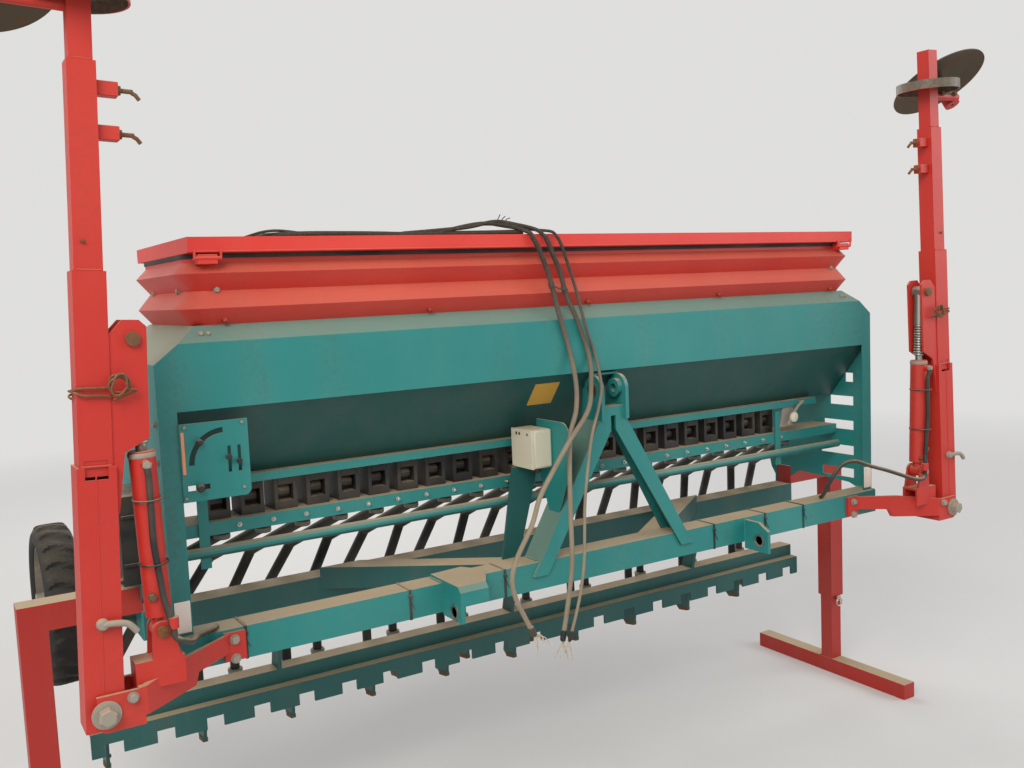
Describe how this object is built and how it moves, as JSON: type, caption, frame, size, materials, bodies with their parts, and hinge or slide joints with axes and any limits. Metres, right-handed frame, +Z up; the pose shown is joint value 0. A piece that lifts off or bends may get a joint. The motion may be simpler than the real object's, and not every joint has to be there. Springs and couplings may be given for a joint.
{
  "type": "seed drill",
  "caption": "Mounted seed drill with a long covered hopper, coulter rail, headstock, folding disc markers and side parking stands.",
  "frame": {"origin": "on the floor under the middle of the box that holds the rigid pieces, parked on its stands with the markers folded up", "axes": "+X along the hopper to the picture's right, +Y from the tractor side back to the coulters, +Z up"},
  "size_m": [3.444, 1.333, 2.4418],
  "materials": {
    "teal_paint": "satin paint, dusty",
    "dark_teal_paint": "satin paint, dusty",
    "red_paint": "satin paint, dusty",
    "steel": "worn steel with some rust",
    "black_plastic": "matt, dusty",
    "pale_plastic": "matt housing",
    "hose_rubber": "matt rubber",
    "tyre": "matt rubber, dusty"
  },
  "bodies": {
    "frame": {"front_beam": "teal_paint", "rear_beam": "teal_paint", "headstock": "teal_paint", "hitch_plates": "teal_paint", "end_panel_left": "teal_paint", "end_panel_right": "teal_paint", "hopper_shell": "teal_paint", "hopper_extension": "red_paint", "metering_units": "black_plastic", "metering_rail": "teal_paint", "control_plate": "teal_paint", "seed_tubes": "black_plastic", "coulter_rail": "teal_paint", "coulters": "dark_teal_paint", "gearbox": "black_plastic", "control_box": "pale_plastic", "stand_arm_left": "red_paint", "stand_arm_right": "red_paint", "marker_bracket_left": "red_paint", "marker_bracket_right": "red_paint", "hose_left": "hose_rubber", "hose_right": "hose_rubber", "cable_main": "hose_rubber", "cable_thin": "hose_rubber", "hose_bundle": "hose_rubber"},
    "lid": {"lid": "red_paint", "cables_on_lid": "hose_rubber"},
    "stand_left": {"stand_leg_left": "red_paint"},
    "marker_left": {"marker_mast_left": "red_paint"},
    "disc_left": {"marker_disc_left": "steel"},
    "ram_left": {"ram_body_left": "red_paint"},
    "rod_left": {"ram_rod_left": "steel"},
    "stand_right": {"stand_leg_right": "red_paint"},
    "marker_right": {"marker_mast_right": "red_paint"},
    "disc_right": {"marker_disc_right": "steel"},
    "ram_right": {"ram_body_right": "red_paint"},
    "rod_right": {"ram_rod_right": "steel"},
    "land_arm": {"wheel_arm": "teal_paint"},
    "land_wheel": {"wheel_rim": "steel", "wheel_tyre": "tyre"}
  },
  "joints": [
    {"name": "lid_hinge", "type": "hinge", "parent": "frame", "child": "lid", "pos_m": [0, 0.1605, 1.815], "axis": [-1, 0, 0], "range_deg": [0, 100]},
    {"name": "stand_slide_left", "type": "slide", "parent": "frame", "child": "stand_left", "axis": [0, 0, 1], "range_m": [-0.15, 0]},
    {"name": "marker_fold_left", "type": "hinge", "parent": "frame", "child": "marker_left", "pos_m": [-1.44, -0.5635, 0.82], "axis": [0, -1, 0], "range_deg": [0, 98]},
    {"name": "ram_swing_left", "type": "hinge", "parent": "frame", "child": "ram_left", "pos_m": [-1.31, -0.5635, 0.965], "axis": [0, -1, 0], "range_deg": [0, 97.5]},
    {"name": "rod_slide_left", "type": "slide", "parent": "ram_left", "child": "rod_left", "axis": [-0.0252, 0, 0.9997], "range_m": [0, 0.294]},
    {"name": "disc_spin_left", "type": "hinge", "parent": "marker_left", "child": "disc_left", "pos_m": [-1.556, -0.5215, 2.286], "axis": [0.0374, 0.515, 0.8564], "continuous": true},
    {"name": "stand_slide_right", "type": "slide", "parent": "frame", "child": "stand_right", "axis": [0, 0, 1], "range_m": [-0.15, 0]},
    {"name": "marker_fold_right", "type": "hinge", "parent": "frame", "child": "marker_right", "pos_m": [1.44, -0.5635, 0.82], "axis": [0, 1, 0], "range_deg": [0, 98]},
    {"name": "ram_swing_right", "type": "hinge", "parent": "frame", "child": "ram_right", "pos_m": [1.31, -0.5635, 0.965], "axis": [0, 1, 0], "range_deg": [0, 97.5]},
    {"name": "rod_slide_right", "type": "slide", "parent": "ram_right", "child": "rod_right", "axis": [0.0252, 0, 0.9997], "range_m": [0, 0.294]},
    {"name": "disc_spin_right", "type": "hinge", "parent": "marker_right", "child": "disc_right", "pos_m": [1.556, -0.5215, 2.286], "axis": [-0.0374, 0.515, 0.8564], "continuous": true},
    {"name": "land_arm_hinge", "type": "hinge", "parent": "frame", "child": "land_arm", "pos_m": [-1.29, 0.1065, 0.8], "axis": [-1, 0, 0], "range_deg": [0, 20]},
    {"name": "land_wheel_spin", "type": "hinge", "parent": "land_arm", "child": "land_wheel", "pos_m": [-1.405, 0.4265, 0.79], "axis": [1, 0, 0], "continuous": true}
  ],
  "couplings": [
    {"joint": "ram_swing_left", "follows": "marker_fold_left", "ratio": 0.9925},
    {"joint": "rod_slide_left", "follows": "marker_fold_left", "m_per_rad": 0.17176},
    {"joint": "ram_swing_right", "follows": "marker_fold_right", "ratio": 0.9925},
    {"joint": "rod_slide_right", "follows": "marker_fold_right", "m_per_rad": 0.17176}
  ]
}
